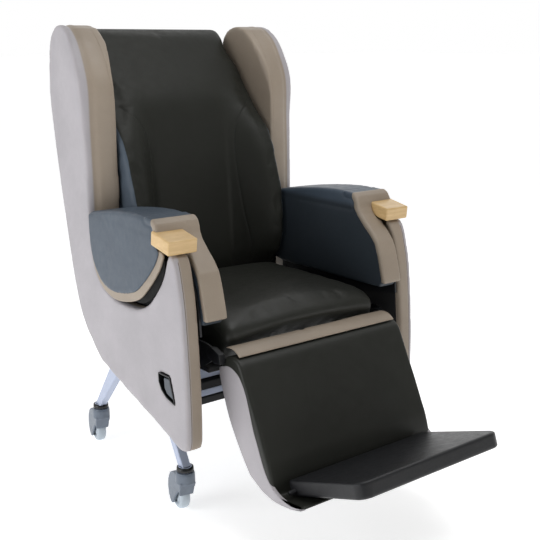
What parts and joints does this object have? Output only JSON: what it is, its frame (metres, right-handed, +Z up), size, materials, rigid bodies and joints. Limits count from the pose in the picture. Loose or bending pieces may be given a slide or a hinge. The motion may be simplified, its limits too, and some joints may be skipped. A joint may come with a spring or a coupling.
{
  "type": "patient recliner chair",
  "caption": "Winged patient recliner on castors with reclining back, hinged leg rest, folding foot board, lift-out arms and a side release lever.",
  "frame": {"origin": "centre of the chair's footprint box at floor level", "axes": "+Z up, the sitter faces -Y, the sitter's right side is -X, symmetric about X = 0 apart from the lever and the castors' turn"},
  "size_m": [0.74, 1.1642, 1.165],
  "materials": {
    "vinyl_grey": "smooth wipe-clean vinyl, satin",
    "vinyl_taupe": "smooth wipe-clean vinyl, satin",
    "vinyl_charcoal": "soft grained vinyl, satin",
    "vinyl_slate": "soft vinyl, satin",
    "vinyl_black": "grained vinyl, satin",
    "beech": "clear lacquered beech",
    "board_black": "black stained board and lining",
    "steel_black": "black powder coat",
    "steel_silver": "silver-grey powder coat",
    "plastic_grey": "moulded grey nylon",
    "plastic_black": "moulded black nylon",
    "tread": "pale blue-grey non-marking tread"
  },
  "bodies": {
    "base": {"side_shell_R": "vinyl_grey", "side_shell_L": "vinyl_grey", "side_liner_R": "board_black", "side_liner_L": "board_black", "wing_pad_R": "vinyl_taupe", "wing_pad_L": "vinyl_taupe", "seat_board": "board_black", "seat_cushion": "vinyl_charcoal", "seat_side_plate_R": "steel_black", "seat_side_plate_L": "steel_black", "seat_cross_front": "steel_silver", "seat_cross_rear": "steel_silver", "mechanism_tube": "steel_black", "chassis_cross_front": "steel_black", "chassis_cross_rear": "steel_silver", "chassis_rail_R": "steel_silver", "chassis_rail_L": "steel_silver", "arm_guide_R": "steel_black", "arm_guide_L": "steel_black", "lever_cup": "plastic_black", "gas_cylinder": "steel_black"},
    "back": {"back_board": "vinyl_black", "back_cushion": "vinyl_charcoal", "back_bolster_R": "vinyl_charcoal", "back_bolster_L": "vinyl_charcoal", "back_hinge_R": "steel_black", "back_hinge_L": "steel_black", "back_lever": "steel_black"},
    "gas_rod": {"gas_rod": "steel_silver"},
    "leg_rest": {"leg_board": "board_black", "leg_pad": "vinyl_charcoal", "leg_cheek_R": "vinyl_taupe", "leg_cheek_L": "vinyl_taupe", "leg_bracket_R": "steel_black", "leg_bracket_L": "steel_black", "seat_apron": "vinyl_taupe"},
    "foot_board": {"foot_board": "vinyl_black"},
    "arm_R": {"arm_core_R": "board_black", "arm_plate_R": "steel_black", "arm_facing_R": "vinyl_taupe", "arm_pad_R": "vinyl_slate", "arm_flap_R": "vinyl_slate", "arm_top_R": "vinyl_slate", "arm_grip_R": "beech"},
    "arm_L": {"arm_core_L": "board_black", "arm_plate_L": "steel_black", "arm_facing_L": "vinyl_taupe", "arm_pad_L": "vinyl_slate", "arm_flap_L": "vinyl_slate", "arm_top_L": "vinyl_slate", "arm_grip_L": "beech"},
    "release_lever": {"release_lever": "plastic_grey"},
    "castor_FR": {"castor_hood_FR": "plastic_grey"},
    "wheel_FR": {"castor_wheel_FR": "tread"},
    "castor_FL": {"castor_hood_FL": "plastic_grey"},
    "wheel_FL": {"castor_wheel_FL": "tread"},
    "castor_RR": {"castor_hood_RR": "plastic_grey"},
    "wheel_RR": {"castor_wheel_RR": "tread"},
    "castor_RL": {"castor_hood_RL": "plastic_grey"},
    "wheel_RL": {"castor_wheel_RL": "tread"}
  },
  "joints": [
    {"name": "back_recline", "type": "hinge", "parent": "base", "child": "back", "pos_m": [0, 0.38412, 0.42], "axis": [-1, 0, 0], "range_deg": [0, 30]},
    {"name": "gas_rod_slide", "type": "slide", "parent": "base", "child": "gas_rod", "axis": [0, -1, 0], "range_m": [0, 0.0645]},
    {"name": "leg_rest_lift", "type": "hinge", "parent": "base", "child": "leg_rest", "pos_m": [0, -0.11588, 0.43], "axis": [-1, 0, 0], "range_deg": [-25, 48], "deforming": ["seat_apron"]},
    {"name": "foot_board_fold", "type": "hinge", "parent": "leg_rest", "child": "foot_board", "pos_m": [0, -0.36488, 0.165], "axis": [-1, 0, 0], "range_deg": [0, 75]},
    {"name": "arm_R_lift", "type": "slide", "parent": "base", "child": "arm_R", "axis": [0, 0, 1], "range_m": [0, 0.3]},
    {"name": "arm_L_lift", "type": "slide", "parent": "base", "child": "arm_L", "axis": [0, 0, 1], "range_m": [0, 0.3]},
    {"name": "lever_pull", "type": "hinge", "parent": "base", "child": "release_lever", "pos_m": [-0.352, -0.05488, 0.35], "axis": [0, 0, -1], "range_deg": [0, 25], "stiffness_Nm_per_rad": 0.3},
    {"name": "castor_swivel_FR", "type": "hinge", "parent": "base", "child": "castor_FR", "pos_m": [-0.2946, -0.04188, 0.1], "axis": [0, 0, 1], "continuous": true},
    {"name": "wheel_roll_FR", "type": "hinge", "parent": "castor_FR", "child": "wheel_FR", "pos_m": [-0.2869, -0.00773, 0.0375], "axis": [0.9755, -0.2198, 0], "continuous": true},
    {"name": "castor_swivel_FL", "type": "hinge", "parent": "base", "child": "castor_FL", "pos_m": [0.2946, -0.04188, 0.1], "axis": [0, 0, 1], "continuous": true},
    {"name": "wheel_roll_FL", "type": "hinge", "parent": "castor_FL", "child": "wheel_FL", "pos_m": [0.30229, -0.00773, 0.0375], "axis": [0.9755, -0.2198, 0], "continuous": true},
    {"name": "castor_swivel_RR", "type": "hinge", "parent": "base", "child": "castor_RR", "pos_m": [-0.26568, 0.44412, 0.1], "axis": [0, 0, 1], "continuous": true},
    {"name": "wheel_roll_RR", "type": "hinge", "parent": "castor_RR", "child": "wheel_RR", "pos_m": [-0.25799, 0.47827, 0.0375], "axis": [0.9755, -0.2198, 0], "continuous": true},
    {"name": "castor_swivel_RL", "type": "hinge", "parent": "base", "child": "castor_RL", "pos_m": [0.26568, 0.44412, 0.1], "axis": [0, 0, 1], "continuous": true},
    {"name": "wheel_roll_RL", "type": "hinge", "parent": "castor_RL", "child": "wheel_RL", "pos_m": [0.27337, 0.47827, 0.0375], "axis": [0.9755, -0.2198, 0], "continuous": true}
  ],
  "couplings": [
    {"joint": "gas_rod_slide", "follows": "back_recline", "m_per_rad": 0.1206}
  ]
}
